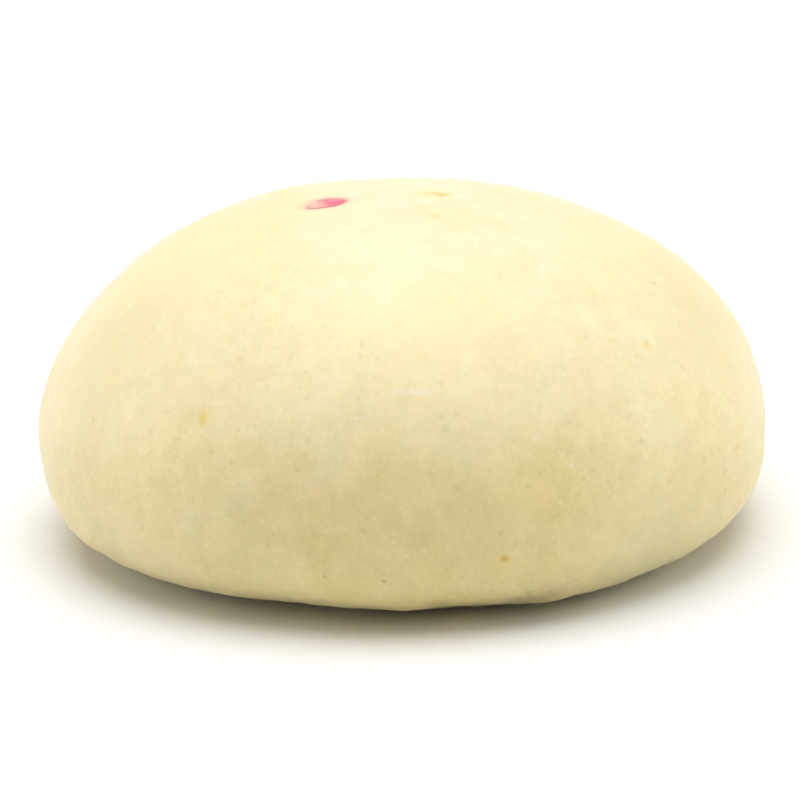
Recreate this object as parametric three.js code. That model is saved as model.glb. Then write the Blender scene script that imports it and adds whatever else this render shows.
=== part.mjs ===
import * as THREE from 'three';
import { mergeVertices } from 'three/addons/utils/BufferGeometryUtils.js';

// A steamed bun: one soft ball of proved dough that sat down as it steamed, so it is a low dome with a
// bulging belly, walls that tuck under it, and a flat underside. Millimetres, +Z up, the table at Z = 0.

const BUN_WIDTH = 100; // across the belly, the widest level
const BUN_HEIGHT = 46;
const BELLY_HEIGHT = 15; // the level of the belly above the table
const TUCK_DEPTH = 16.05; // how far down the wall would reach on the axis; the table presses it flat
const HEEL_SOFTNESS = 0.5; // half the height of the soft corner where the wall leaves the table

// The dome and the wall are quarters of a superellipse, each with one power for its radius and one for
// its height. A power of 2 in both would make an ellipse.
const CROWN_POWER = 2.38; // more than 2 is flatter on top
const SHOULDER_POWER = 1.76; // less than 2 is rounder at the belly
const WALL_POWER = 4.9; // more is more upright just below the belly
const HEEL_POWER = 3.1; // more is squarer at the heel

// Hand-shaped dough is never quite round. Each low hill or hollow has a place, a spread and a rise.
const HILLS = [
  { place: new THREE.Vector3(-50, 0, 16), spread: 9, rise: 0.4 },
  { place: new THREE.Vector3(50, 0, 14), spread: 9, rise: -1.1 },
  { place: new THREE.Vector3(-26, 0, 42), spread: 11, rise: 0.4 },
  { place: new THREE.Vector3(26, 0, 42), spread: 11, rise: -1.2 },
  { place: new THREE.Vector3(36, 0, 37), spread: 6, rise: 0.3 },
  { place: new THREE.Vector3(0, 6, 46), spread: 9, rise: -0.6 },
  { place: new THREE.Vector3(-13, 4, 45), spread: 7, rise: 0.9 },
  { place: new THREE.Vector3(14, 4, 45), spread: 7, rise: 0.7 },
  { place: new THREE.Vector3(-40, -20, 2), spread: 8, rise: 0.7 },
  { place: new THREE.Vector3(-14, -40, 1), spread: 8, rise: -1.1 },
  { place: new THREE.Vector3(3, -45, 1), spread: 5, rise: -0.7 },
  { place: new THREE.Vector3(19, -38, 1), spread: 6, rise: 1.4 },
  { place: new THREE.Vector3(34, -27, 2), spread: 9, rise: 0.6 },
  { place: new THREE.Vector3(-12, 38, 22), spread: 16, rise: 0.7 },
  { place: new THREE.Vector3(30, 34, 8), spread: 9, rise: -0.6 },
  { place: new THREE.Vector3(-34, 30, 3), spread: 8, rise: 0.7 },
];
const FREE_HEIGHT = 3; // above this level a hill may also lift the skin; on the table it only slides

const FOOT_STEPS = 3;
const SKIN_STEPS = 32;
const STEPS_AROUND = 72;
const OUTLINE_SAMPLES = 400; // for each of the wall and the dome, before they are spaced evenly

const CRUST_COLOUR = 0xf3e6c0;
const CRUST_ROUGHNESS = 0.55;

const QUARTER_TURN = Math.PI / 2;
const bellyRadius = BUN_WIDTH / 2;
const domeRise = BUN_HEIGHT - BELLY_HEIGHT;

// Nothing lies below the table. A parabola joins the flat foot to the wall.
function pressFlat(height) {
  if (height < -HEEL_SOFTNESS) return 0;
  if (height > HEEL_SOFTNESS) return height;
  return (height + HEEL_SOFTNESS) ** 2 / (4 * HEEL_SOFTNESS);
}

// The turn below the belly at which the wall has reached the flat foot.
function footTurn() {
  const drop = (BELLY_HEIGHT + HEEL_SOFTNESS) / TUCK_DEPTH;
  return Math.asin(drop ** (HEEL_POWER / 2));
}

function wallPoint(turn) {
  const radius = bellyRadius * Math.cos(turn) ** (2 / WALL_POWER);
  const height = BELLY_HEIGHT - TUCK_DEPTH * Math.sin(turn) ** (2 / HEEL_POWER);
  return new THREE.Vector2(radius, pressFlat(height));
}

function domePoint(turn) {
  const radius = bellyRadius * Math.max(Math.cos(turn), 0) ** (2 / CROWN_POWER);
  const height = BELLY_HEIGHT + domeRise * Math.sin(turn) ** (2 / SHOULDER_POWER);
  return new THREE.Vector2(turn === QUARTER_TURN ? 0 : radius, height);
}

// The half outline from the middle of the foot to the crown, evenly spaced above the table.
function bunOutline() {
  const skin = [];
  for (let step = 0; step < OUTLINE_SAMPLES; step += 1) {
    skin.push(wallPoint(footTurn() * (1 - step / OUTLINE_SAMPLES)));
  }
  for (let step = 0; step <= OUTLINE_SAMPLES; step += 1) {
    skin.push(domePoint(QUARTER_TURN * (step / OUTLINE_SAMPLES)));
  }
  const curve = new THREE.SplineCurve(skin);
  curve.arcLengthDivisions = OUTLINE_SAMPLES * 2;
  const spaced = curve.getSpacedPoints(SKIN_STEPS);
  const foot = [];
  for (let step = 0; step < FOOT_STEPS; step += 1) {
    foot.push(new THREE.Vector2((spaced[0].x * step) / FOOT_STEPS, 0));
  }
  return foot.concat(spaced);
}

// How far a point moves: the sum of the hills, each fading as exp(-distance^2 / (2 spread^2)).
function hillRise(point) {
  let rise = 0;
  for (const hill of HILLS) {
    const away = point.distanceToSquared(hill.place);
    rise += hill.rise * Math.exp(-away / (2 * hill.spread ** 2));
  }
  return rise;
}

// Pushes every point outwards from the middle of the belly, or only sideways near the table.
function pushHills(geometry) {
  const position = geometry.getAttribute('position');
  const point = new THREE.Vector3();
  for (let index = 0; index < position.count; index += 1) {
    point.fromBufferAttribute(position, index);
    const rise = hillRise(point);
    const free = Math.min(point.z / FREE_HEIGHT, 1);
    const outward = point.clone().setZ(point.z - BELLY_HEIGHT).normalize();
    const sideways = point.clone().setZ(0).normalize();
    point.addScaledVector(outward, rise * free);
    point.addScaledVector(sideways, rise * (1 - free));
    position.setXYZ(index, point.x, point.y, point.z);
  }
}

// Puts the middle of the plan on the Z axis, since the hills move it a little.
function centrePlan(geometry) {
  geometry.computeBoundingBox();
  const box = geometry.boundingBox;
  geometry.translate(-(box.min.x + box.max.x) / 2, -(box.min.y + box.max.y) / 2, 0);
}

function makeBun() {
  const lathe = new THREE.LatheGeometry(bunOutline(), STEPS_AROUND);
  lathe.rotateX(QUARTER_TURN);
  lathe.deleteAttribute('normal');
  lathe.deleteAttribute('uv');
  const geometry = mergeVertices(lathe);
  pushHills(geometry);
  centrePlan(geometry);
  geometry.computeVertexNormals();
  const crust = new THREE.MeshStandardMaterial({
    color: CRUST_COLOUR,
    roughness: CRUST_ROUGHNESS,
    metalness: 0,
  });
  const bun = new THREE.Mesh(geometry, crust);
  bun.name = 'bun';
  return bun;
}

const steamedBun = new THREE.Group();
steamedBun.add(makeBun());

export default steamedBun;
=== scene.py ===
# %% [markdown]
# # A steamed bun
# A filled steamed bun is one ball of dough. It is closed by hand, turned over so that the gathered side is
# underneath, proved, and steamed on paper. It comes out as a low dome with a bulging belly, a wall that tucks
# in under the belly, and a flat foot. Its skin is matte, creamy and faintly mottled, and a small ring of red
# dye on the crown tells one filling from another.
# The script loads the bun's plain solid, makes the real surface over it as one numpy grid, gives it a
# procedural skin, and sets a pale floor, soft light and a camera. Everything is in metres, with the middle of
# the foot at the origin.

# %% Load the plain solid
import math

import bpy
import numpy as np
from mathutils import Matrix, Vector


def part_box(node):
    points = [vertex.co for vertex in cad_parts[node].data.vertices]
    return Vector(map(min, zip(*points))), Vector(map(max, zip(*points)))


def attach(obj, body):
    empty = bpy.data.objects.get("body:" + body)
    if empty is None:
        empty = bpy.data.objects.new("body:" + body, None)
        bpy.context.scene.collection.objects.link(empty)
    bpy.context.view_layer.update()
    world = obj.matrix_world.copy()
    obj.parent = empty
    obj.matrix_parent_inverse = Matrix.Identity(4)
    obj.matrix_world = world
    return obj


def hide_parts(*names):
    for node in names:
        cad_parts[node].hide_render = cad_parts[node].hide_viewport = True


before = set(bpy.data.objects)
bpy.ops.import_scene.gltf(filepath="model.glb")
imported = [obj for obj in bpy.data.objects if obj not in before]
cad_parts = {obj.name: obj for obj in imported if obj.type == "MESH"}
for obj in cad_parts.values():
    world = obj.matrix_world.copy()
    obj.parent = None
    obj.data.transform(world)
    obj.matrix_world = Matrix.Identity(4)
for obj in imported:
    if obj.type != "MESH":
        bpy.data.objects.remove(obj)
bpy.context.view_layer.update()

# %% Driving sizes, the plain solid's own
MM = 0.001
low, high = (np.array(corner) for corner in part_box("bun"))
BELLY_RADIUS = 50.0 * MM  # the widest level
CROWN_HEIGHT = 46.0 * MM
BELLY_HEIGHT = 15.0 * MM
DOME_RISE = CROWN_HEIGHT - BELLY_HEIGHT
print("plain solid: %.1f x %.1f x %.1f mm" % tuple((high - low) / MM))

# %% [markdown]
# ## The outline of the loaf
# The shape that matters is the half outline from the middle of the foot to the crown. A sphere squashed by
# scaling would do for a toy, but real dough is flatter on the crown, rounder at the belly and squarer at the
# heel than an ellipse. A superellipse with a different power for the radius and for the height gives all
# three from four numbers. One quarter of it makes the dome and another makes the wall that tucks under.
# The lower quarter would reach a little below the table, so it is pressed flat there, with a small soft
# corner where the dough leaves the table.

# %% The half outline
CROWN_POWER = 2.38  # above 2 the crown is flatter than an ellipse
SHOULDER_POWER = 1.76  # below 2 the belly is rounder than an ellipse
WALL_POWER = 4.9  # how upright the wall stays below the belly
HEEL_POWER = 3.1  # how square the heel is
TUCK_DEPTH = 16.05 * MM  # the lower quarter's own depth, a little more than the belly's height
HEEL_SOFTNESS = 0.5 * MM


def press_flat(height):
    """Nothing lies below the table: heights under -s become 0, heights over s stay, and between the two a
    parabola (height + s)^2 / 4s joins them smoothly. s is the heel's softness."""
    soft = (height + HEEL_SOFTNESS) ** 2 / (4 * HEEL_SOFTNESS)
    return np.where(height < -HEEL_SOFTNESS, 0, np.where(height < HEEL_SOFTNESS, soft, height))


def half_outline(samples=6000):
    """Radius and height from the middle of the foot to the crown. With t from 0 to a quarter turn, the
    radius is belly radius x cos(t)^(2/p) and the distance from the belly's level is depth x sin(t)^(2/q)."""
    turn = np.linspace(0, math.pi / 2, samples)
    cosine = np.clip(np.cos(turn), 0, 1)
    cosine[-1] = 0
    wall = BELLY_RADIUS * cosine ** (2 / WALL_POWER)
    under = BELLY_HEIGHT - TUCK_DEPTH * np.sin(turn) ** (2 / HEEL_POWER)
    dome = BELLY_RADIUS * cosine ** (2 / CROWN_POWER)
    above = BELLY_HEIGHT + DOME_RISE * np.sin(turn) ** (2 / SHOULDER_POWER)
    radius = np.concatenate([wall[:0:-1], dome])
    height = press_flat(np.concatenate([under[:0:-1], above]))
    return radius, height


outline_radius, outline_height = half_outline()
outline_steps = np.hypot(np.diff(outline_radius), np.diff(outline_height))
outline_length = np.concatenate([[0], np.cumsum(outline_steps)])
SKIN_LENGTH = outline_length[-1]
FOOT_LENGTH = outline_length[np.argmax(outline_height > 0)]  # where the dough leaves the table
print("skin from foot to crown: %.1f mm, foot radius %.1f mm" % (SKIN_LENGTH / MM, FOOT_LENGTH / MM))

# %% [markdown]
# ## The grid
# The surface is a grid of rings from foot to crown and spokes around the bun. Steps of one length would
# waste faces on the foot and starve the crown, where the small marks are, so the length of a step changes
# along the outline. Adding up one over the step length counts the rings, and reading that count backwards
# gives each ring's place. It is the same trick that spaces beads evenly on a wire that stretches.

# %% Rings and spokes
SPOKES = 360
FINE_STEP = 0.22 * MM  # around the crown's marks
COARSE_STEP = 0.56 * MM  # over the flanks
FOOT_STEP = 1.0 * MM
FINE_REACH = 17.0 * MM  # how far down from the crown the fine steps go
FOOT_EASE = 0.2  # the share of the foot over which its steps grow to their full length


def smooth_step(value, start, end):
    """0 before start, 1 after end, and 3x^2 - 2x^3 between them."""
    share = np.clip((value - start) / (end - start), 0, 1)
    return share * share * (3 - 2 * share)


def ring_places():
    """Distances along the outline at which rings lie, from 0 at the foot's middle to the crown."""
    from_crown = SKIN_LENGTH - outline_length
    step = FINE_STEP + (COARSE_STEP - FINE_STEP) * smooth_step(from_crown, FINE_REACH, 2 * FINE_REACH)
    step += (FOOT_STEP - COARSE_STEP) * smooth_step(FOOT_LENGTH - outline_length, 0, FOOT_EASE * FOOT_LENGTH)
    middle_step = (step[1:] + step[:-1]) / 2
    counted = np.concatenate([[0], np.cumsum(np.diff(outline_length) / middle_step)])
    rings = int(round(counted[-1]))
    return np.interp(np.linspace(0, counted[-1], rings + 1), counted, outline_length)


places = ring_places()
ring_radius = np.interp(places, outline_length, outline_radius)
ring_height = np.interp(places, outline_length, outline_height)
spoke_angle = np.linspace(0, 2 * math.pi, SPOKES, endpoint=False)
plain = np.stack(
    [
        ring_radius[:, None] * np.cos(spoke_angle),
        ring_radius[:, None] * np.sin(spoke_angle),
        np.repeat(ring_height[:, None], SPOKES, axis=1),
    ],
    axis=-1,
)
print("rings:", len(places), "spokes:", SPOKES, "triangles: about", 2 * len(places) * SPOKES)

# %% [markdown]
# ## High and low places
# Dough shaped by hand and proved on a tray is never quite round. It stands a millimetre proud where it
# rose more, and it is a little hollow where a palm or a neighbour held it. Each such place is a soft round
# hill: its height falls off as exp(-distance^2 / (2 x spread^2)). The hills push outwards from the middle
# of the bun at the belly's level, and on the foot they only push sideways, so that the foot stays flat.
# The first list is the plain solid's own, so that both stand on the same shape. The second, shorter list
# adds what is too small for the plain solid.

# %% Push the soft hills out
FULL_HEIGHT = 3.0 * MM  # above this level a hill may also move the skin up or down
HILLS = [  # place, spread and rise, in millimetres
    ((-50, 0, 16), 9, 0.4),
    ((50, 0, 14), 9, -1.1),
    ((-26, 0, 42), 11, 0.4),
    ((26, 0, 42), 11, -1.2),
    ((36, 0, 37), 6, 0.3),
    ((0, 6, 46), 9, -0.6),
    ((-13, 4, 45), 7, 0.9),
    ((14, 4, 45), 7, 0.7),
    ((-40, -20, 2), 8, 0.7),
    ((-14, -40, 1), 8, -1.1),
    ((3, -45, 1), 5, -0.7),
    ((19, -38, 1), 6, 1.4),
    ((34, -27, 2), 9, 0.6),
    ((-12, 38, 22), 16, 0.7),
    ((30, 34, 8), 9, -0.6),
    ((-34, 30, 3), 8, 0.7),
]
LOBES = [  # three lobes of the heel, and a slightly fuller belly on the left and on the right
    ((-0.7, -44.8, 0.8), 2.6, 1.0),
    ((17.1, -41.7, 0.8), 1.5, 1.0),
    ((34.0, -29.5, 1.0), 6, 0.22),
    ((-50, 0, 19), 7, 0.15),
    ((50, 0, 12), 6, 0.2),
]


def hill(points, place, spread):
    """exp(-d^2 / (2 spread^2)), where d is the distance from place. Both are in millimetres."""
    away = ((points - np.array(place) * MM) ** 2).sum(axis=-1)
    return np.exp(-away / (2 * (spread * MM) ** 2))


def push_hills(points, hills):
    """Moves each point by the sum of the hills: outwards from the bun's middle, or sideways on the foot."""
    rise = sum(amount * MM * hill(points, place, spread) for place, spread, amount in hills)
    outward = points - np.array([0, 0, BELLY_HEIGHT])
    outward /= np.linalg.norm(outward, axis=-1, keepdims=True)
    sideways = points * np.array([1, 1, 0])
    sideways /= np.maximum(np.linalg.norm(sideways, axis=-1, keepdims=True), 1e-9)
    free = np.clip(points[..., 2:] / FULL_HEIGHT, 0, 1)
    return points + rise[..., None] * (outward * free + sideways * (1 - free))


loaf = push_hills(plain, HILLS + LOBES)
print("hills moved the skin by up to %.2f mm" % (np.linalg.norm(loaf - plain, axis=-1).max() / MM))
plan_middle = (loaf.max(axis=(0, 1)) + loaf.min(axis=(0, 1))) / 2
loaf -= plan_middle * np.array([1, 1, 0])
print("plan moved by", -plan_middle[:2] / MM, "mm to stand over the origin")

# %% [markdown]
# ## The skin's own relief
# Steam leaves the skin slightly uneven at every size. Adding many waves that run in random directions and
# have random phases gives an unevenness with no grid or repeat in it. Three sets are enough for the mesh:
# a broad one, as the palm left it, a fine one, like the skin of an orange seen from far off, and one on
# the heel only, where the dough set against the wrinkles of the paper. Finer grain than the mesh can hold
# is left to the material's bump.

# %% Uneven skin
dice = np.random.default_rng(26)


def uneven(points, shortest, longest, waves):
    """Sum of sine waves with random directions, lengths between shortest and longest, and phases, scaled so
    that its typical size is 1."""
    direction = dice.normal(size=(waves, 3))
    direction /= np.linalg.norm(direction, axis=1, keepdims=True)
    length = dice.uniform(shortest, longest, waves) * MM
    phase = dice.uniform(0, 2 * math.pi, waves)
    total = np.zeros(points.shape[:-1])
    for way, size, start in zip(direction, length, phase):
        total += np.sin(points @ way * (2 * math.pi / size) + start)
    return total * math.sqrt(2 / waves)


PALM_RELIEF = 0.07 * MM
PALM_WAVES = (14, 34, 24)  # shortest and longest wave in millimetres, and how many waves
PEEL_RELIEF = 0.022 * MM
PEEL_WAVES = (2.6, 5.5, 40)
HEEL_RELIEF = 0.06 * MM  # where the dough set against the paper
HEEL_WAVES = (3.0, 9.0, 40)
HEEL_FULL = 3.5 * MM  # the heel's relief is whole below this level, and gone at twice this level
skin_relief = PALM_RELIEF * uneven(loaf, *PALM_WAVES) + PEEL_RELIEF * uneven(loaf, *PEEL_WAVES)
heel_share = 1 - smooth_step(loaf[..., 2], HEEL_FULL, 2 * HEEL_FULL)
skin_relief += HEEL_RELIEF * heel_share * uneven(loaf, *HEEL_WAVES)
print("uneven skin: %.3f to %.3f mm" % (skin_relief.min() / MM, skin_relief.max() / MM))

# %% [markdown]
# ## Marks on the crown, the flank and the heel
# The dye was put on with the end of a thin tube, held askew, which left a shallow oval groove. Beside it a
# bubble burst in the steam and left a little crater with a raised rim, and two weaker ones lie in front.
# The heel has short flats and corners where the dough set against the paper's creases. All of these are
# added to the relief as shapes around a place: a groove is a bell across an oval, and a crater is a bell
# minus a wider, weaker bell. Two more blisters and four more flats are on the side that faces away.

# %% Marks as relief
STAMP_PLACE = (-9.0, -6.2, 45.6)
STAMP_DEPTH = 0.12 * MM
STAMP_WIDTH = 0.15  # as a share of the ring's size
RING_TURN = math.radians(22)
RING_HALF_LENGTH = 2.60 * MM
RING_HALF_WIDTH = 1.80 * MM
CRATERS = [  # place, radius and depth, in millimetres
    ((6.6, -2.8, 45.7), 1.10, 0.20),
    ((5.5, -13.6, 45.0), 0.8, 0.09),
    ((3.9, -9.5, 45.4), 0.7, 0.08),
    ((17.0, 21.0, 40.5), 0.9, 0.16),
    ((-22.0, 27.0, 37.0), 0.8, 0.12),
]
HEEL_DENTS = [  # place, spread and depth, in millimetres
    ((-40.0, -24.7, 2.0), 2.2, 0.5),
    ((-30.5, -32.5, 1.5), 2.4, 0.15),
    ((26.0, -38.0, 2.0), 2.2, 0.20),
    ((21.5, -41.0, 1.0), 1.5, 0.30),
    ((-5.5, -45.0, 1.0), 2.4, 0.10),
    ((37.5, -27.0, 1.5), 2.2, 0.4),
    ((38.0, 24.0, 1.5), 2.6, 0.5),
    ((12.0, 44.0, 1.5), 2.4, 0.45),
    ((-27.0, 36.0, 1.5), 2.6, 0.5),
    ((-44.5, 12.0, 2.0), 2.2, 0.4),
]


def ring_groove(points):
    """An oval groove: exp(-(d - 1)^2 / (2 width^2)). d is the distance from the stamp's place after a turn
    and a stretch that make the oval a circle of radius 1."""
    offset = points - np.array(STAMP_PLACE) * MM
    along = offset[..., 0] * math.cos(RING_TURN) + offset[..., 1] * math.sin(RING_TURN)
    across = offset[..., 1] * math.cos(RING_TURN) - offset[..., 0] * math.sin(RING_TURN)
    scaled = [along / RING_HALF_LENGTH, across / RING_HALF_WIDTH, offset[..., 2] / RING_HALF_LENGTH]
    away = np.linalg.norm(scaled, axis=0)
    return np.exp(-((away - 1) ** 2) / (2 * STAMP_WIDTH**2))


PIT_SPREAD = 0.6  # a crater's two bells, as shares of its radius
RIM_SPREAD = 1.2
RIM_RISE = 0.3  # the rim's bell, as a share of the pit's


def crater(points, place, radius):
    """A pit of the given radius with a low rim: a narrow bell minus a weaker bell that is twice as wide."""
    return hill(points, place, PIT_SPREAD * radius) - RIM_RISE * hill(points, place, RIM_SPREAD * radius)


marks = -STAMP_DEPTH * ring_groove(loaf)
for place, radius, depth in CRATERS:
    marks -= depth * MM * crater(loaf, place, radius)
for place, spread, depth in HEEL_DENTS:
    marks -= depth * MM * hill(loaf, place, spread)
print("marks: %.2f mm at the deepest" % (-marks.min() / MM))

# %% [markdown]
# ## The underside
# Nobody sees it until the bun is picked up, but it is where the bun was closed. The pleats were pinched
# together there and then pressed flat under the bun's weight. They end as shallow folds that run to a small
# navel, with smooth flat dough around them. A fold is a cosine around the navel whose angle is twisted a
# little with the radius, sharpened by a power, and faded out before the flat ring that the bun stands on.

# %% Pleats pressed into the foot
PLEATS = 13
PLEAT_REACH = 19.0 * MM
PLEAT_DEPTH = 0.55 * MM
PLEAT_TWIST = 0.9
PLEAT_SHARPNESS = 6
PLEAT_WANDER = 0.12  # how unevenly the folds are spaced
REACH_CHANGE = 0.18  # how much longer or shorter a fold is than the others
FADE_START = 0.2  # as a share of the reach
NAVEL_RADIUS = 2.4 * MM
NAVEL_DEPTH = 1.5 * MM


def pleat_depth(points):
    """Depth of the folds: |cos(pleats x (angle + twist x radius) / 2)|^sharpness, fading out towards the
    reach, plus a bell for the navel. Slow waves space the folds unevenly and make some of them longer."""
    radius = np.linalg.norm(points[..., :2], axis=-1)
    angle = np.arctan2(points[..., 1], points[..., 0])
    turned = angle + PLEAT_TWIST * radius / PLEAT_REACH + PLEAT_WANDER * np.sin(3 * angle + 1)
    fold = np.abs(np.cos(PLEATS * turned / 2)) ** PLEAT_SHARPNESS
    length_change = REACH_CHANGE * (np.sin(2 * angle + 0.7) * np.cos(3 * angle) - 1)
    reach = PLEAT_REACH * (1 + length_change)
    fading = 1 - smooth_step(radius, FADE_START * reach, reach)
    navel = np.exp(-((radius / NAVEL_RADIUS) ** 2))
    return PLEAT_DEPTH * fold * fading * (1 - navel) + NAVEL_DEPTH * navel


FOOT_TOP = 0.4 * MM  # the level at which a ring no longer counts as foot
FOOT_MARGIN = 6 * MM  # how far past the table's edge, along the skin, a ring can still be foot
foot_share = 1 - smooth_step(ring_height[:, None] * np.ones(SPOKES), 0, FOOT_TOP)
foot_share[places > FOOT_LENGTH + FOOT_MARGIN] = 0
print("foot rings:", int((foot_share[:, 0] > 0.5).sum()))

# %% Put the relief on the loaf


def outward_normals(points):
    """Cross product of the step around and the step up, each taken from neighbouring points."""
    around = np.roll(points, -1, axis=1) - np.roll(points, 1, axis=1)
    up = np.gradient(points, axis=0)
    normal = np.cross(around, up)
    return normal / np.maximum(np.linalg.norm(normal, axis=-1, keepdims=True), 1e-12)


relief = (skin_relief + marks) * (1 - foot_share)
surface = loaf + outward_normals(loaf) * relief[..., None]
surface[..., 2] = np.maximum(surface[..., 2], 0) + foot_share * pleat_depth(loaf)
size = np.ptp(surface.reshape(-1, 3), axis=0) / MM
print("bun: %.1f x %.1f x %.1f mm" % tuple(size))

# %% [markdown]
# ## From grid to mesh
# The first and the last ring lie on the axis, where all spokes meet in one point. Each of them becomes a
# single vertex with a fan of triangles, and all other rings are joined by four-sided faces. The face
# indices are worked out as arrays too: a face joins a ring's spoke to the next spoke and the next ring.

# %% Faces


def grid_faces(rings, spokes):
    """Quads between neighbouring rings and two fans, wound so that they face outwards. Vertex 0 is the
    foot's middle, the rings follow, and the crown is last."""
    ring = np.arange(rings - 1)[:, None] * spokes + 1
    spoke = np.arange(spokes)[None, :]
    after = (spoke + 1) % spokes
    quads = np.stack([ring + spoke, ring + after, ring + spokes + after, ring + spokes + spoke], axis=-1)
    crown = 1 + rings * spokes
    last = crown - spokes
    foot_fan = np.stack([0 * spoke[0], 1 + after[0], 1 + spoke[0]], axis=-1)
    crown_fan = np.stack([0 * spoke[0] + crown, last + spoke[0], last + after[0]], axis=-1)
    return foot_fan.tolist() + quads.reshape(-1, 4).tolist() + crown_fan.tolist()


middle_rings = surface[1:-1]
foot_middle = surface[0].mean(axis=0)
crown_point = surface[-1].mean(axis=0)
vertices = np.concatenate([[foot_middle], middle_rings.reshape(-1, 3), [crown_point]])
faces = grid_faces(len(middle_rings), SPOKES)

mesh = bpy.data.meshes.new("bun_skin")
mesh.from_pydata(vertices.tolist(), [], faces)
mesh.polygons.foreach_set("use_smooth", np.ones(len(mesh.polygons), dtype=bool))
bun = bpy.data.objects.new("bun_skin", mesh)
bpy.context.collection.objects.link(bun)
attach(bun, "root")
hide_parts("bun")
print("mesh:", len(mesh.vertices), "vertices,", len(mesh.polygons), "faces")

# %% [markdown]
# ## A map for the skin
# The finish is worked out in space, so it needs no map. A map still helps whoever bakes it. Unrolling a dome
# round its crown, with the distance along the skin as the radius, gives one round island with no seam on
# the part that shows. The foot gets a second round island at the same scale, and the only seam is the
# line where the bun meets the table.

# %% Two round islands
SKIN_ISLAND = np.array([0.41, 0.41])
SKIN_ISLAND_RADIUS = 0.40
FOOT_ISLAND = np.array([0.815, 0.815])
FOOT_ISLAND_RADIUS = 0.17


def island_map():
    """For each face corner: island middle + island radius x (distance along the skin / whole distance),
    in the direction of the spoke. The foot's island is mirrored, because it is seen from below."""
    vertex_place = np.concatenate([[0], np.repeat(places[1:-1], SPOKES), [SKIN_LENGTH]])
    vertex_angle = np.concatenate([[0], np.tile(spoke_angle, len(places) - 2), [0]])
    way = np.stack([np.cos(vertex_angle), np.sin(vertex_angle)], axis=-1)
    skin_share = (SKIN_LENGTH - vertex_place) / (SKIN_LENGTH - FOOT_LENGTH)
    skin = SKIN_ISLAND + SKIN_ISLAND_RADIUS * skin_share[:, None] * way
    foot_way = way * np.array([-1, 1])
    foot = FOOT_ISLAND + FOOT_ISLAND_RADIUS * (vertex_place / FOOT_LENGTH)[:, None] * foot_way
    corner_vertex = np.empty(len(mesh.loops), dtype=np.int32)
    mesh.loops.foreach_get("vertex_index", corner_vertex)
    face_size = np.empty(len(mesh.polygons), dtype=np.int32)
    mesh.polygons.foreach_get("loop_total", face_size)
    face_start = np.concatenate([[0], np.cumsum(face_size)[:-1]])
    middle_place = np.add.reduceat(vertex_place[corner_vertex], face_start) / face_size
    on_foot = np.repeat(middle_place < FOOT_LENGTH, face_size)
    return np.where(on_foot[:, None], foot[corner_vertex], skin[corner_vertex])


skin_map = mesh.uv_layers.new(name="OFBake")
skin_map.uv.foreach_set("vector", island_map().astype(np.float32).ravel())
print("map corners:", len(mesh.loops))

# %% [markdown]
# ## Small tools for node materials
# A node tree is a formula drawn as boxes. These few helpers let it be written as one: each takes numbers,
# colours or other nodes' outputs and gives an output back.

# %% Helpers that write nodes


def join(tree, value, socket):
    """Feeds a socket with another socket's output, or sets it to a plain value."""
    if isinstance(value, bpy.types.NodeSocket):
        tree.links.new(value, socket)
    else:
        socket.default_value = value


def calculate(tree, operation, first, second=0.0, clamp=False):
    node = tree.nodes.new("ShaderNodeMath")
    node.operation = operation
    node.use_clamp = clamp
    join(tree, first, node.inputs[0])
    join(tree, second, node.inputs[1])
    return node.outputs[0]


def distance_between(tree, first, second):
    node = tree.nodes.new("ShaderNodeVectorMath")
    node.operation = "DISTANCE"
    join(tree, first, node.inputs[0])
    join(tree, second, node.inputs[1])
    return node.outputs["Value"]


def remap(tree, value, start, end, low_out=0.0, high_out=1.0):
    """Smoothly turns start into low_out and end into high_out."""
    node = tree.nodes.new("ShaderNodeMapRange")
    node.interpolation_type = "SMOOTHSTEP"
    for socket, number in zip(node.inputs[:5], (value, start, end, low_out, high_out)):
        join(tree, number, socket)
    return node.outputs["Result"]


def blend_colour(tree, share, first, second, way="MIX"):
    node = tree.nodes.new("ShaderNodeMix")
    node.data_type = "RGBA"
    node.blend_type = way
    join(tree, share, node.inputs["Factor"])
    join(tree, first, node.inputs[6])
    join(tree, second, node.inputs[7])
    return node.outputs[2]


def cloud(tree, place, per_metre, detail=3.0, roughness=0.5):
    node = tree.nodes.new("ShaderNodeTexNoise")
    join(tree, place, node.inputs["Vector"])
    join(tree, per_metre, node.inputs["Scale"])
    node.inputs["Detail"].default_value = detail
    node.inputs["Roughness"].default_value = roughness
    return node.outputs["Fac"]


def new_group(name, inputs, outputs):
    """An empty node group with the named sockets. Gives the group, its input node and its output node."""
    group = bpy.data.node_groups.new(name, "ShaderNodeTree")
    for label, kind, value in inputs:
        socket = group.interface.new_socket(name=label, in_out="INPUT", socket_type=kind)
        socket.default_value = value
    for label, kind in outputs:
        group.interface.new_socket(name=label, in_out="OUTPUT", socket_type=kind)
    return group, group.nodes.new("NodeGroupInput"), group.nodes.new("NodeGroupOutput")


def use_group(tree, group, **values):
    """Places a group and feeds its inputs by name, with spaces written as underscores."""
    node = tree.nodes.new("ShaderNodeGroup")
    node.node_tree = group
    for label, value in values.items():
        join(tree, value, node.inputs[label.replace("_", " ")])
    return node.outputs[0]


print("helpers ready")

# %% [markdown]
# ## Effects that are used again and again
# *Mottle* is the blotchiness of steamed dough: a cloud pattern stretched until its light and dark areas part.
# *Soft spot* is one round mark at a chosen place, with an edge made ragged by a cloud: a fleck or a burst
# bubble. *Arc mark* is the same for a short curved line, such as a scuff or a wrinkle: a band at one distance
# from a centre, cut off at both ends.
# *Sprinkle* scatters many small marks: space is cut into random cells, a few cells are picked by their random
# colour, and each picked cell gets a dot round its middle. Pinholes, flour specks and bran flecks are all
# sprinkles with other numbers.

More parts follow.
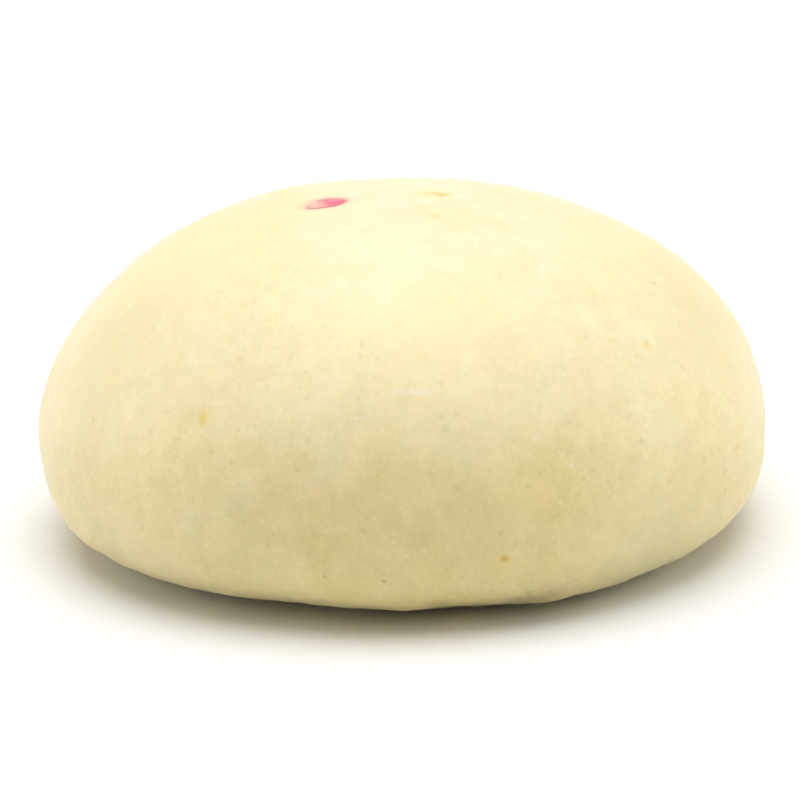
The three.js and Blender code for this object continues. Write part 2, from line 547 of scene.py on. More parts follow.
# %% Mottle
mottle, given, result = new_group(
    "mottle",
    [
        ("Place", "NodeSocketVector", (0, 0, 0)),
        ("Per Metre", "NodeSocketFloat", 300.0),
        ("Contrast", "NodeSocketFloat", 0.15),
    ],
    [("Blotch", "NodeSocketFloat")],
)
CLOUD_MIDDLE = 0.5  # the middle value of a cloud
SOFT_DETAIL, SOFT_ROUGHNESS = 3.0, 0.55
wavy = cloud(mottle, given.outputs["Place"], given.outputs["Per Metre"], SOFT_DETAIL, SOFT_ROUGHNESS)
dark_end = calculate(mottle, "SUBTRACT", CLOUD_MIDDLE, given.outputs["Contrast"])
light_end = calculate(mottle, "ADD", CLOUD_MIDDLE, given.outputs["Contrast"])
join(mottle, remap(mottle, wavy, dark_end, light_end), result.inputs["Blotch"])
print("mottle:", len(mottle.nodes), "nodes")

# %% Soft spot
soft_spot, given, result = new_group(
    "soft spot",
    [
        ("Place", "NodeSocketVector", (0, 0, 0)),
        ("Wander", "NodeSocketFloat", 0.0),
        ("Centre", "NodeSocketVector", (0, 0, 0)),
        ("Radius", "NodeSocketFloat", 0.001),
        ("Edge", "NodeSocketFloat", 0.5),
    ],
    [("Mask", "NodeSocketFloat")],
)
away = distance_between(soft_spot, given.outputs["Place"], given.outputs["Centre"])
away = calculate(soft_spot, "DIVIDE", away, given.outputs["Radius"])
away = calculate(soft_spot, "ADD", away, given.outputs["Wander"])
inner = calculate(soft_spot, "SUBTRACT", 1.0, given.outputs["Edge"])
outer = calculate(soft_spot, "ADD", 1.0, given.outputs["Edge"])
join(soft_spot, remap(soft_spot, away, inner, outer, 1.0, 0.0), result.inputs["Mask"])
print("soft spot:", len(soft_spot.nodes), "nodes")

# %% Arc mark
arc_mark, given, result = new_group(
    "arc mark",
    [
        ("Place", "NodeSocketVector", (0, 0, 0)),
        ("Wander", "NodeSocketFloat", 0.0),
        ("Arc Centre", "NodeSocketVector", (0, 0, 0)),
        ("Arc Radius", "NodeSocketFloat", 0.005),
        ("Middle", "NodeSocketVector", (0, 0, 0)),
        ("Half Length", "NodeSocketFloat", 0.003),
        ("Half Width", "NodeSocketFloat", 0.0003),
    ],
    [("Mask", "NodeSocketFloat")],
)
away = distance_between(arc_mark, given.outputs["Place"], given.outputs["Arc Centre"])
off = calculate(arc_mark, "ABSOLUTE", calculate(arc_mark, "SUBTRACT", away, given.outputs["Arc Radius"]))
off = calculate(arc_mark, "DIVIDE", off, given.outputs["Half Width"])
off = calculate(arc_mark, "ADD", off, given.outputs["Wander"])
along = distance_between(arc_mark, given.outputs["Place"], given.outputs["Middle"])
along = calculate(arc_mark, "DIVIDE", along, given.outputs["Half Length"])
BAND_CORE, BAND_EDGE = 0.3, 1.3  # as shares of the half width
END_CORE, END_EDGE = 0.6, 1.1  # as shares of the half length
band = remap(arc_mark, off, BAND_CORE, BAND_EDGE, 1.0, 0.0)
ends = remap(arc_mark, along, END_CORE, END_EDGE, 1.0, 0.0)
join(arc_mark, calculate(arc_mark, "MULTIPLY", band, ends), result.inputs["Mask"])
print("arc mark:", len(arc_mark.nodes), "nodes")

# %% Sprinkle
sprinkle, given, result = new_group(
    "sprinkle",
    [
        ("Place", "NodeSocketVector", (0, 0, 0)),
        ("Per Metre", "NodeSocketFloat", 200.0),
        ("Share", "NodeSocketFloat", 0.1),
        ("Radius", "NodeSocketFloat", 0.0003),
    ],
    [("Mask", "NodeSocketFloat")],
)
cells = sprinkle.nodes.new("ShaderNodeTexVoronoi")
join(sprinkle, given.outputs["Place"], cells.inputs["Vector"])
join(sprinkle, given.outputs["Per Metre"], cells.inputs["Scale"])
DOT_CORE = 0.3  # as a share of a dot's radius
WEAKEST_DOT = 0.4
reach = calculate(sprinkle, "MULTIPLY", given.outputs["Radius"], given.outputs["Per Metre"])
core = calculate(sprinkle, "MULTIPLY", reach, DOT_CORE)
dot = remap(sprinkle, cells.outputs["Distance"], core, reach, 1.0, 0.0)
lot = sprinkle.nodes.new("ShaderNodeSeparateColor")
join(sprinkle, cells.outputs["Color"], lot.inputs["Color"])
picked = calculate(sprinkle, "LESS_THAN", lot.outputs["Red"], given.outputs["Share"])
strength = calculate(sprinkle, "MULTIPLY_ADD", lot.outputs["Green"], 1 - WEAKEST_DOT)
strength.node.inputs[2].default_value = WEAKEST_DOT
mask = calculate(sprinkle, "MULTIPLY", calculate(sprinkle, "MULTIPLY", dot, picked), strength)
join(sprinkle, mask, result.inputs["Mask"])
print("sprinkle:", len(sprinkle.nodes), "nodes")

# %% [markdown]
# ## The skin's colour
# Steamed dough is cream, not white, because wheat holds some yellow. The crown's cream is paler and less
# yellow than the belly's: that is painted light, for the strong light that falls on the top. Close up it is
# uneven at every size: wide warm and pale areas, blotches of a few millimetres, and a fine salt-and-pepper
# mottle that makes the skin read as bread and not as plastic. Six layers of mottle, each finer than the one
# before, tint the colour by multiplying it. They are calmer on the crown, where the skin was stretched most
# as the bun rose.

# %% Start the skin material
skin = bpy.data.materials.new("steamed skin")
skin.use_nodes = True
tree = skin.node_tree
tree.nodes.clear()
spot_at = tree.nodes.new("ShaderNodeTexCoord").outputs["Object"]

BELLY_CREAM = (0.870, 0.765, 0.410, 1)
# painted light: the crown's paler cream stands in for the strong light on the top
CROWN_CREAM_PAINTED_LIGHT = (0.950, 0.875, 0.590, 1)
PALE_TINT = (1.00, 0.985, 0.95, 1)
WARM_TINT = (1.00, 0.958, 0.88, 1)
GREY_TINT = (0.94, 0.94, 0.895, 1)
FINE_TINT = (0.97, 0.97, 0.95, 1)
DARK_TINT = (0.955, 0.95, 0.925, 1)

apart = tree.nodes.new("ShaderNodeSeparateXYZ")
join(tree, spot_at, apart.inputs[0])
CREAM_LEVELS = (14 * MM, 36 * MM)  # the belly's colour below the first, the crown's above the second
CALM_LEVELS = (24 * MM, 41 * MM)  # the mottle is whole below the first and calmest above the second
CALMEST = 0.85
crown_light_share = remap(tree, apart.outputs["Z"], *CREAM_LEVELS)
calm = remap(tree, apart.outputs["Z"], *CALM_LEVELS, 1.0, CALMEST)
colour = blend_colour(tree, crown_light_share, BELLY_CREAM, CROWN_CREAM_PAINTED_LIGHT)
MOTTLES = [  # blotches per metre, contrast and tint
    (36.0, 0.16, PALE_TINT),
    (90.0, 0.18, WARM_TINT),
    (160.0, 0.16, FINE_TINT),
    (300.0, 0.18, GREY_TINT),
    (800.0, 0.20, FINE_TINT),
    (1800.0, 0.22, DARK_TINT),
]
for per_metre, contrast, tint in MOTTLES:
    share = use_group(tree, mottle, Place=spot_at, Per_Metre=per_metre, Contrast=contrast)
    colour = blend_colour(tree, calculate(tree, "MULTIPLY", share, calm), colour, tint, "MULTIPLY")
print("layers of mottle:", len(MOTTLES))

# %% Pits, flour and bran
FLOUR = (0.93, 0.87, 0.70, 1)
BRAN = (0.80, 0.60, 0.24, 1)
PIT_TINT = (0.93, 0.92, 0.86, 1)
PINHOLE = (0.45, 0.38, 0.20, 1)
SPRINKLES = {  # cells per metre, share of the cells, radius, strength, colour and way of blending
    "pits": (620.0, 0.45, 0.55 * MM, 1.0, PIT_TINT, "MULTIPLY"),
    "flour": (540.0, 0.30, 0.50 * MM, 0.26, FLOUR, "MIX"),
    "bran": (210.0, 0.05, 0.60 * MM, 0.16, BRAN, "MIX"),
    "pinholes": (150.0, 0.07, 0.32 * MM, 0.34, PINHOLE, "MIX"),
}
dots = {}
for name, (per_metre, share, radius, strength, tint, way) in SPRINKLES.items():
    dots[name] = use_group(tree, sprinkle, Place=spot_at, Per_Metre=per_metre, Share=share, Radius=radius)
    colour = blend_colour(tree, calculate(tree, "MULTIPLY", dots[name], strength), colour, tint, way)
print("sprinkles:", list(SPRINKLES))

# %% [markdown]
# ## This bun's own marks, with painted light and shade
# A yellow fleck and a brown one are bits of bran or filling that came through. The burst bubble dried to
# straw yellow. The wide soft patches are painted light and painted shade: paler patches on the flanks, on
# the front and on the front of the crown, and darker ones on the crown's shoulders and low on the heel. A
# small dark spot at the near edge of the burst bubble, a soft smudge low on the front and a peach patch
# under the front scuff are painted shade too. Pinholes and small scuffs lie where they are on the real one,
# and a few more are on the side that faces away. Every mark but the scuffs is a soft spot with its own place,
# radius, edge, colour and strength, so the whole set is one list.

# %% Flecks and patches
RAGGED_PER_METRE, RAGGED_DETAIL, RAGGED_SIZE = 900.0, 2.0, 1.4
ragged = cloud(tree, spot_at, RAGGED_PER_METRE, RAGGED_DETAIL)
ragged = calculate(tree, "MULTIPLY", calculate(tree, "SUBTRACT", ragged, CLOUD_MIDDLE), RAGGED_SIZE)
YELLOW = (0.76, 0.62, 0.10, 1)
OCHRE = (0.66, 0.46, 0.07, 1)
HALO = (0.84, 0.66, 0.28, 1)
AMBER = (0.84, 0.62, 0.14, 1)
PEACH = (0.93, 0.70, 0.46, 1)
STRAW = (0.90, 0.70, 0.20, 1)
ORANGE = (0.96, 0.64, 0.24, 1)
OLIVE = (0.42, 0.36, 0.16, 1)
CROWN_PAINTED_SHADE = (0.92, 0.76, 0.38, 1)
SHADED = (0.76, 0.65, 0.35, 1)
GREY_PAINTED_SHADE = (0.61, 0.60, 0.35, 1)
CROWN_FRONT_PAINTED_LIGHT = (0.99, 0.95, 0.70, 1)
FRONT_PAINTED_LIGHT = (1.00, 0.85, 0.46, 1)
FLANK_PAINTED_LIGHT = (0.98, 0.86, 0.575, 1)
SPOTS = [  # place and radius in millimetres, edge, colour, strength
    ((-23.6, -39.3, 26.4), 0.72, 0.8, YELLOW, 0.60),
    ((-23.7, -39.4, 26.2), 0.45, 0.8, YELLOW, 0.60),
    ((-23.8, -39.7, 25.7), 0.42, 0.9, YELLOW, 0.35),
    ((-23.2, -39.5, 26.3), 0.22, 0.6, PEACH, 0.60),
    ((11.6, -48.8, 10.2), 0.95, 0.8, AMBER, 0.42),
    ((11.8, -48.8, 10.4), 0.40, 0.9, OCHRE, 0.90),
    # painted shade: a soft darker smudge that stands in for the shade of a shallow dimple
    ((2.4, -50.1, 16.1), 1.00, 0.8, OLIVE, 0.10),
    ((3.2, -50.1, 14.4), 1.90, 0.9, OLIVE, 0.06),
    ((-19.0, -45.8, 17.2), 2.20, 0.9, OLIVE, 0.06),
    ((-10.4, -48.0, 19.9), 0.90, 0.8, PEACH, 0.35),
    ((16.0, -47.8, 16.7), 1.80, 0.9, AMBER, 0.14),
    ((9.7, -45.2, 27.0), 3.20, 0.9, PEACH, 0.12),
    ((16.0, -45.2, 24.1), 0.32, 0.7, FLOUR, 0.42),
    ((20.2, -45.2, 20.5), 0.26, 0.7, FLOUR, 0.42),
    ((30.9, -30.4, 31.1), 0.80, 0.7, AMBER, 0.30),
    ((30.9, -30.4, 31.0), 0.50, 0.8, ORANGE, 0.45),
    ((30.9, -30.2, 31.3), 0.24, 0.7, OLIVE, 0.28),
    ((14.5, -38.6, 33.0), 8.00, 0.9, PEACH, 0.10),
    ((23.0, -37.5, 29.0), 6.00, 0.9, PEACH, 0.08),
    ((-22.0, -37.0, 31.0), 7.00, 0.9, PEACH, 0.12),
    # painted shade under the raised front scuff
    ((3.6, -44.2, 29.3), 2.20, 0.9, PEACH, 0.20),
    ((2.4, -44.4, 29.1), 0.38, 0.8, ORANGE, 0.35),
    ((0.8, -44.3, 29.4), 0.45, 0.8, OLIVE, 0.16),
    ((0.0, -44.7, 28.7), 0.50, 0.9, OLIVE, 0.16),
    ((5.0, -43.1, 30.6), 0.40, 0.8, OLIVE, 0.22),
    ((-4.2, -43.3, 30.3), 0.45, 0.8, OLIVE, 0.16),
    ((-4.4, -45.0, 27.7), 0.50, 0.9, OLIVE, 0.15),
    ((5.3, -46.3, 25.9), 0.55, 0.9, OLIVE, 0.20),
    # painted shade low on the heel, where the wall turns under towards the table
    ((13.2, -43.9, 2.9), 2.10, 0.9, OLIVE, 0.70),
    ((16.2, -43.6, 3.2), 2.10, 0.9, OLIVE, 0.60),
    ((18.5, -44.2, 4.0), 3.00, 0.9, OLIVE, 0.26),
    ((25.0, -42.0, 4.5), 3.50, 0.9, OLIVE, 0.22),
    ((31.0, -38.0, 4.5), 4.50, 0.9, OLIVE, 0.30),
    ((-36.0, -31.0, 5.5), 5.00, 0.9, OLIVE, 0.36),
    ((-28.5, -38.0, 4.8), 4.50, 0.9, OLIVE, 0.20),
    ((-21.0, -41.5, 4.0), 4.00, 0.9, OLIVE, 0.12),
    ((36.8, -28.8, 26.5), 1.60, 0.9, PEACH, 0.20),
    ((42.8, -23.6, 22.5), 1.90, 0.9, PEACH, 0.20),
    # painted shade on both shoulders of the crown, and further down on them
    ((-27.0, -12.0, 41.0), 13.00, 0.9, CROWN_PAINTED_SHADE, 0.50),
    ((33.0, -8.0, 38.0), 13.00, 0.9, CROWN_PAINTED_SHADE, 0.50),
    ((-38.0, -21.0, 29.0), 10.00, 0.9, SHADED, 0.78),
    ((40.0, -17.0, 30.5), 9.50, 0.9, SHADED, 0.60),
    # painted shade low on the right of the heel
    ((31.0, -38.0, 5.0), 7.00, 0.9, GREY_PAINTED_SHADE, 0.42),
    ((38.0, -31.0, 5.0), 6.00, 0.9, GREY_PAINTED_SHADE, 0.30),
    # painted light: paler patches on the front of the crown, on the front, at the flanks' rims and low on the
    # front
    ((-1.0, -27.0, 41.7), 7.50, 0.9, CROWN_FRONT_PAINTED_LIGHT, 0.30),
    ((2.0, -38.0, 35.0), 12.00, 0.9, FRONT_PAINTED_LIGHT, 0.38),
    ((-46.5, -15.5, 18.0), 9.00, 0.9, FLANK_PAINTED_LIGHT, 0.34),
    ((46.5, -18.0, 18.0), 9.50, 0.9, FLANK_PAINTED_LIGHT, 0.42),
    ((-33.0, -36.0, 12.0), 9.00, 0.9, FLANK_PAINTED_LIGHT, 0.22),
    ((31.0, -37.0, 15.0), 10.00, 0.9, FLANK_PAINTED_LIGHT, 0.13),
    ((8.5, -11.5, 44.8), 5.00, 0.9, HALO, 0.12),
    ((5.4, -2.7, 45.7), 2.40, 0.7, STRAW, 0.45),
    ((4.9, -2.3, 45.7), 0.90, 0.7, AMBER, 0.28),
    ((6.7, -3.0, 45.7), 1.20, 0.4, AMBER, 1.00),
    # painted shade at the near edge of the burst bubble
    ((6.6, -3.9, 45.6), 0.38, 0.6, OLIVE, 0.60),
    ((5.6, -2.0, 45.7), 0.35, 0.6, OLIVE, 0.35),
    ((7.9, -2.8, 45.7), 0.45, 0.7, PEACH, 0.60),
    ((5.5, -13.6, 45.0), 1.00, 0.8, AMBER, 0.40),
    ((5.8, -14.3, 44.8), 0.22, 0.7, OLIVE, 0.35),
    ((3.9, -9.5, 45.4), 0.90, 0.8, HALO, 0.35),
    ((-2.5, -49.3, 8.3), 0.30, 0.6, OLIVE, 0.55),
    ((-9.6, -48.3, 8.8), 0.26, 0.6, OLIVE, 0.45),
    ((33.3, -18.3, 36.0), 0.28, 0.6, OLIVE, 0.45),
    ((39.9, -10.7, 32.8), 0.26, 0.6, OLIVE, 0.40),
    ((29.1, -39.7, 21.5), 0.30, 0.7, OLIVE, 0.28),
    ((-1.0, 12.0, 45.3), 0.40, 0.6, OLIVE, 0.50),
    ((3.1, -24.5, 42.7), 0.30, 0.6, OLIVE, 0.16),
    ((5.2, -24.9, 42.4), 0.24, 0.6, OLIVE, 0.12),
    ((-38.6, -27.5, 23.0), 0.30, 0.6, OLIVE, 0.25),
    ((18.0, 38.5, 26.0), 0.50, 0.5, YELLOW, 0.70),
    ((-33.0, 33.0, 17.0), 0.50, 0.6, OCHRE, 0.60),
    ((-14.0, 22.0, 42.5), 0.30, 0.6, OLIVE, 0.40),
]
for place, radius, edge, tint, strength in SPOTS:
    mask = use_group(
        tree,
        soft_spot,
        Place=spot_at,
        Wander=ragged,
        Centre=[part * MM for part in place],
        Radius=radius * MM,
        Edge=edge,
    )
    colour = blend_colour(tree, calculate(tree, "MULTIPLY", mask, strength), colour, tint)
print("spots:", len(SPOTS))

# %% Scuffs
SCUFF = (0.94, 0.86, 0.70, 1)
SCUFFS = [  # arc centre, arc radius, middle, half length and half width in millimetres, strength
    ((1.7, -41.6, 35.6), 6.30, (1.7, -43.9, 29.9), 3.1, 0.46, 0.36),
    ((2.7, -41.6, 35.6), 6.30, (2.9, -43.8, 30.0), 1.3, 0.26, 0.45),
    ((-4.6, -44.5, 31.2), 4.00, (-4.6, -45.5, 27.5), 0.9, 0.24, 0.40),
    ((33.2, -20.5, 29.2), 5.00, (35.1, -23.7, 32.3), 1.6, 0.14, 0.18),
    ((-20.0, 36.0, 36.0), 6.00, (-22.0, 37.5, 30.2), 3.2, 0.28, 0.55),
]
scuffs = 0.0
for centre, radius, middle, half_length, half_width, strength in SCUFFS:
    mask = use_group(
        tree,
        arc_mark,
        Place=spot_at,
        Wander=ragged,
        Arc_Centre=[part * MM for part in centre],
        Arc_Radius=radius * MM,
        Middle=[part * MM for part in middle],
        Half_Length=half_length * MM,
        Half_Width=half_width * MM,
    )
    scuffs = calculate(tree, "MAXIMUM", scuffs, calculate(tree, "MULTIPLY", mask, strength))
colour = blend_colour(tree, scuffs, colour, SCUFF)
print("scuffs:", len(SCUFFS))

# %% [markdown]
# ## The dyed ring
# The end of the tube was dipped in red dye and pressed on askew. So the ring is a little oval, its near edge
# is a thin dark line, its far edge is only drawn on the right, the dye pooled on the right, and a pale pink
# wash is left elsewhere. A Mapping node turns and stretches the space around the ring until the ring becomes
# a circle of radius 1 round the origin. All its parts are then simple bands of that radius.

# %% Space around the ring
DYE = (0.92, 0.070, 0.170, 1)
DYE_DARK = (0.50, 0.060, 0.085, 1)
DYE_GREY = (0.46, 0.26, 0.17, 1)
DYE_WASH = (0.94, 0.45, 0.38, 1)
ring_space = tree.nodes.new("ShaderNodeMapping")
ring_space.vector_type = "TEXTURE"
join(tree, spot_at, ring_space.inputs["Vector"])
ring_space.inputs["Location"].default_value = [part * MM for part in STAMP_PLACE]
ring_space.inputs["Rotation"].default_value = (0, 0, RING_TURN)
ring_space.inputs["Scale"].default_value = (RING_HALF_LENGTH, RING_HALF_WIDTH, RING_HALF_LENGTH)
around = tree.nodes.new("ShaderNodeSeparateXYZ")
join(tree, ring_space.outputs[0], around.inputs[0])
rightward, farward = around.outputs["X"], around.outputs["Y"]
TREMBLE_PER_METRE, TREMBLE_DETAIL, TREMBLE_ROUGHNESS, TREMBLE_SIZE = 800.0, 3.0, 0.6, 0.35
tremble = cloud(tree, spot_at, TREMBLE_PER_METRE, TREMBLE_DETAIL, TREMBLE_ROUGHNESS)
tremble = calculate(tree, "MULTIPLY", calculate(tree, "SUBTRACT", tremble, CLOUD_MIDDLE), TREMBLE_SIZE)
from_middle = distance_between(tree, ring_space.outputs[0], (0, 0, 0))
from_middle = calculate(tree, "ADD", from_middle, tremble)
from_line = calculate(tree, "ABSOLUTE", calculate(tree, "SUBTRACT", from_middle, 1.0))
print("ring space ready")

# %% Dye
BLEED_FADE = (0.9, 1.9)  # where a band starts to fade and where it is gone, in ring radii
WASH_FADE = (0.85, 1.2)
POOL_FADE = (0.85, 1.35)
POOL_START = (-0.65, 0.30)  # from left to right across the ring, where the pooled dye begins
BLEED_SIDES = (0.45, 0.75)  # strength of the bleed on the left and on the right
THINNEST_DYE = 0.62  # in the lighter streaks of the pool
NEAR_LINE = (0.03, 0.30)  # distance from the drawn line at which it starts to fade, and at which it is gone
FAR_LINE = (0.04, 0.28)
WASH_STRENGTH, NEAR_STRENGTH, FAR_STRENGTH = 0.65, 0.80, 0.60

streaks = use_group(tree, mottle, Place=ring_space.outputs[0], Per_Metre=1.6, Contrast=0.12)
pooled = remap(tree, rightward, *POOL_START)
bleed = remap(tree, from_middle, *BLEED_FADE, 1.0, 0.0)
bleed = calculate(tree, "MULTIPLY", bleed, remap(tree, rightward, -1.0, 1.0, *BLEED_SIDES))
colour = blend_colour(tree, bleed, colour, DYE_WASH)
wash = remap(tree, from_middle, *WASH_FADE, 1.0, 0.0)
colour = blend_colour(tree, calculate(tree, "MULTIPLY", wash, WASH_STRENGTH), colour, DYE_WASH)
strong = calculate(tree, "MULTIPLY", remap(tree, from_middle, *POOL_FADE, 1.0, 0.0), pooled)
strong = calculate(tree, "MULTIPLY", strong, remap(tree, streaks, 0.0, 1.0, THINNEST_DYE, 1.0))
colour = blend_colour(tree, strong, colour, DYE)
near_side = remap(tree, farward, 0.45, -0.25)
near_side = calculate(tree, "MULTIPLY", near_side, remap(tree, rightward, 0.9, 0.3, 0.45, 1.0))
near_side = calculate(tree, "MULTIPLY", near_side, remap(tree, rightward, -1.1, -0.4, 0.7, 1.0))
near_line = calculate(tree, "MULTIPLY", remap(tree, from_line, *NEAR_LINE, 1.0, 0.0), near_side)
colour = blend_colour(tree, calculate(tree, "MULTIPLY", near_line, NEAR_STRENGTH), colour, DYE_DARK)
far_side = remap(tree, farward, 0.25, 0.6)
far_side = calculate(tree, "MULTIPLY", far_side, remap(tree, rightward, -0.32, -0.02))
far_line = calculate(tree, "MULTIPLY", remap(tree, from_line, *FAR_LINE, 1.0, 0.0), far_side)
colour = blend_colour(tree, calculate(tree, "MULTIPLY", far_line, FAR_STRENGTH), colour, DYE_GREY)
print("dyed ring at", STAMP_PLACE)

# %% [markdown]
# ## The peeled foot
# Where the paper was, the skin is damp, a little darker and matt, with a fine crepe from the paper. A mask
# by height finds it: it is full on the table and gone a millimetre above it. Painted shade darkens the heel
# above it, where the wall turns under towards the table. One shade fades out six millimetres above the
# table, and a yellower one at nine.

# %% The foot's colour
FOOT_CREAM = (0.80, 0.70, 0.42, 1)
HEEL_PAINTED_SHADE = (0.86, 0.85, 0.77, 1)
LOW_PAINTED_SHADE = (0.93, 0.93, 0.93, 1)
HEEL_SHADE_LEVELS = (1.5 * MM, 9.0 * MM)
LOW_SHADE_LEVELS = (1.0 * MM, 6.0 * MM)
DAMP_LEVELS = (0.1 * MM, 1.2 * MM)
DAMP_STRENGTH = 0.7
# painted shade on the heel, strongest at the table
heel_shade = remap(tree, apart.outputs["Z"], *HEEL_SHADE_LEVELS, 1.0, 0.0)
colour = blend_colour(tree, heel_shade, colour, HEEL_PAINTED_SHADE, "MULTIPLY")
low_shade = remap(tree, apart.outputs["Z"], *LOW_SHADE_LEVELS, 1.0, 0.0)
colour = blend_colour(tree, low_shade, colour, LOW_PAINTED_SHADE, "MULTIPLY")
damp = remap(tree, apart.outputs["Z"], *DAMP_LEVELS, 1.0, 0.0)
crepe = use_group(tree, mottle, Place=spot_at, Per_Metre=520.0, Contrast=0.12)
colour = blend_colour(tree, calculate(tree, "MULTIPLY", damp, DAMP_STRENGTH), colour, FOOT_CREAM)
print("foot colour blended in by height")

# %% [markdown]
# ## Roughness, bump and the light inside
# The skin has a soft low sheen. Its roughness changes a little with the pores, and the foot is rougher. The
# bump adds what is too fine for the mesh: grain, pores, pinholes, thin scuffs and the crepe of the foot.
# Light goes a few millimetres into dough before it comes back, redder than it went in. Subsurface scattering
# does that, and it is what keeps the shaded side warm. Its settings are the same all over, so they are set
# on the shader itself.

# %% Grain for the bump
grain = cloud(tree, spot_at, 1500.0, 4.0, 0.6)
pores = cloud(tree, spot_at, 420.0, SOFT_DETAIL, SOFT_ROUGHNESS)
RISES = [  # what stands up or goes down, and by what share of the bump's distance
    (grain, 0.25),
    (pores, 0.6),
    (dots["pinholes"], -1.5),
    (dots["pits"], -0.5),
    (scuffs, 0.8),
    (calculate(tree, "MULTIPLY", crepe, damp), 1.2),
]
height = 0.0
for mask, rise in RISES:
    height = calculate(tree, "ADD", height, calculate(tree, "MULTIPLY", mask, rise))
bump = tree.nodes.new("ShaderNodeBump")
bump.inputs["Strength"].default_value = 0.35
bump.inputs["Distance"].default_value = 0.12 * MM
join(tree, height, bump.inputs["Height"])
print("bump from", len(RISES), "masks")

# %% Finish the skin material
SMOOTHEST, PORE_ROUGHNESS, DAMP_ROUGHNESS = 0.46, 0.16, 0.15
roughness = calculate(tree, "ADD", calculate(tree, "MULTIPLY", pores, PORE_ROUGHNESS), SMOOTHEST)
damp_roughness = calculate(tree, "MULTIPLY", damp, DAMP_ROUGHNESS)
roughness = calculate(tree, "ADD", roughness, damp_roughness, clamp=True)

shader = tree.nodes.new("ShaderNodeBsdfPrincipled")
join(tree, colour, shader.inputs["Base Color"])
join(tree, roughness, shader.inputs["Roughness"])
join(tree, bump.outputs["Normal"], shader.inputs["Normal"])
shader.inputs["Specular IOR Level"].default_value = 0.62
shader.inputs["Sheen Weight"].default_value = 0.20
shader.inputs["Sheen Roughness"].default_value = 0.35
shader.inputs["Subsurface Weight"].default_value = 0.35
shader.inputs["Subsurface Radius"].default_value = (1.0, 0.6, 0.28)
shader.inputs["Subsurface Scale"].default_value = 4.0 * MM
surface_output = tree.nodes.new("ShaderNodeOutputMaterial")
join(tree, shader.outputs[0], surface_output.inputs["Surface"])
mesh.materials.append(skin)
print("skin material:", len(tree.nodes), "nodes")

# %% [markdown]
# ## Floor and light
# The bun stands on a white sweep, so bright that it runs into the white behind it. The sky looks white to
# the camera and in gloss, but gives almost no light, or it would lighten the shadow under the bun. Six
# wide soft suns do the lighting: the strongest from overhead, weaker ones low on the left and the right,
# two more from behind and one from the front right. They light the crown and the flanks and leave the side
# that faces the viewer a little darker. Suns are used, and not lamps, because they light the whole floor
# evenly: with lamps it would turn grey further out.

# %% A white floor
FLOOR_REACH = 3.0
FLOOR_WHITE = (0.95, 0.95, 0.95, 1)
floor_mesh = bpy.data.meshes.new("floor")
corners = [(x * FLOOR_REACH, y * FLOOR_REACH, 0) for x, y in ((-1, -1), (1, -1), (1, 1), (-1, 1))]
floor_mesh.from_pydata(corners, [], [(0, 1, 2, 3)])
floor = bpy.data.objects.new("floor", floor_mesh)
bpy.context.collection.objects.link(floor)
paint = bpy.data.materials.new("white sweep")
paint.use_nodes = True
coat = paint.node_tree.nodes["Principled BSDF"]
coat.inputs["Base Color"].default_value = FLOOR_WHITE
coat.inputs["Roughness"].default_value = 0.9
coat.inputs["Specular IOR Level"].default_value = 0.1
floor_mesh.materials.append(paint)
print("floor: %.0f m square" % (2 * FLOOR_REACH))

# %% Sky and suns
SKY_FILL = 0.02
world = bpy.data.worlds.new("white room")
bpy.context.scene.world = world
world.use_nodes = True
room = world.node_tree
room.nodes.clear()
ray = room.nodes.new("ShaderNodeLightPath")
seen = calculate(room, "MAXIMUM", ray.outputs["Is Camera Ray"], ray.outputs["Is Glossy Ray"])
brightness = remap(room, seen, 0.0, 1.0, SKY_FILL, 1.0)
background = room.nodes.new("ShaderNodeBackground")
join(room, brightness, background.inputs["Strength"])
background.inputs["Color"].default_value = (1, 1, 1, 1)
join(room, background.outputs[0], room.nodes.new("ShaderNodeOutputWorld").inputs["Surface"])


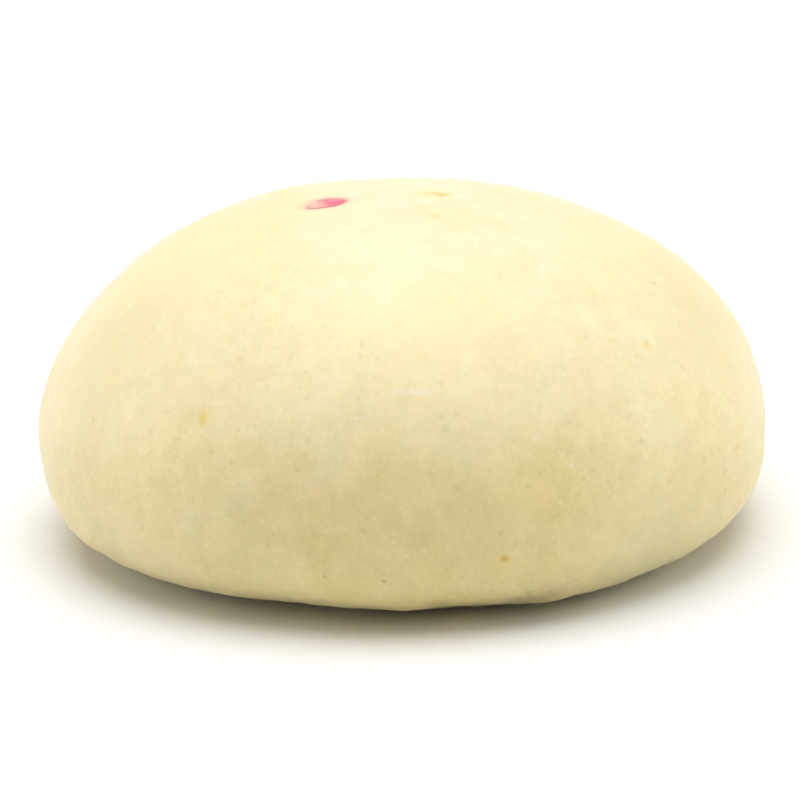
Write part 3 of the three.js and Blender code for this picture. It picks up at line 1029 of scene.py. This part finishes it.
def add_sun(name, azimuth, elevation, strength, spread):
    """A sun that shines from the given azimuth (0 is the viewer's side, 90 is the right) and elevation."""
    light = bpy.data.lights.new(name, "SUN")
    light.energy = strength
    light.angle = math.radians(spread)
    sun = bpy.data.objects.new(name, light)
    turn, lift = math.radians(azimuth), math.radians(elevation)
    towards = Vector((math.sin(turn) * math.cos(lift), -math.cos(turn) * math.cos(lift), math.sin(lift)))
    sun.rotation_euler = towards.to_track_quat("Z", "Y").to_euler()
    bpy.context.collection.objects.link(sun)


SUNS = [  # name, azimuth and elevation in degrees, strength, and spread in degrees
    ("overhead", 0, 90, 2.08, 60),
    ("behind", 180, 60, 0.36, 60),
    ("left", -92, 18, 0.94, 50),
    ("right", 94, 17, 1.18, 50),
    ("behind left", -118, 14, 0.44, 50),
    ("front right", 30, 57, 0.46, 50),
]
for sun in SUNS:
    add_sun(*sun)
bpy.context.scene.view_settings.view_transform = "Standard"
print("sky and", len(SUNS), "suns")

# %% [markdown]
# ## The camera
# The bun is seen from close by and a little above the table, 15 degrees up, with a long lens. The camera's
# frame leans by two degrees, as a hand-held one does. The camera looks at a point inside the bun, and the
# point is a little below its middle, so the bun sits above the middle of the frame.

# %% Place the camera
VIEW_DISTANCE = 0.300
VIEW_ELEVATION = math.radians(15)
VIEW_ROLL = 0.035  # radians, like the two aims
AIM_DOWN = 0.01967
AIM_LEFT = 0.0023
LENS = 97.6
SENSOR_WIDTH = 36  # millimetres, like the lens
PIVOT = Vector((-plan_middle[0], -plan_middle[1], 22.5 * MM))

camera_data = bpy.data.cameras.new("camera")
camera_data.lens = LENS
camera_data.sensor_width = SENSOR_WIDTH
camera_data.clip_start = 0.01
camera_data.clip_end = 20
camera = bpy.data.objects.new("camera", camera_data)
bpy.context.collection.objects.link(camera)
back = Vector((0, -math.cos(VIEW_ELEVATION), math.sin(VIEW_ELEVATION)))
stand = Matrix.Translation(PIVOT + back * VIEW_DISTANCE)
level = back.to_track_quat("Z", "Y").to_matrix().to_4x4()
aim = Matrix.Rotation(-AIM_DOWN, 4, "X") @ Matrix.Rotation(AIM_LEFT, 4, "Y")
lean = Matrix.Rotation(-VIEW_ROLL, 4, "Z")
camera.matrix_world = stand @ level @ aim @ lean
bpy.context.scene.camera = camera
print("camera %.0f mm from the bun, %.1f mm lens" % (VIEW_DISTANCE / MM, LENS))
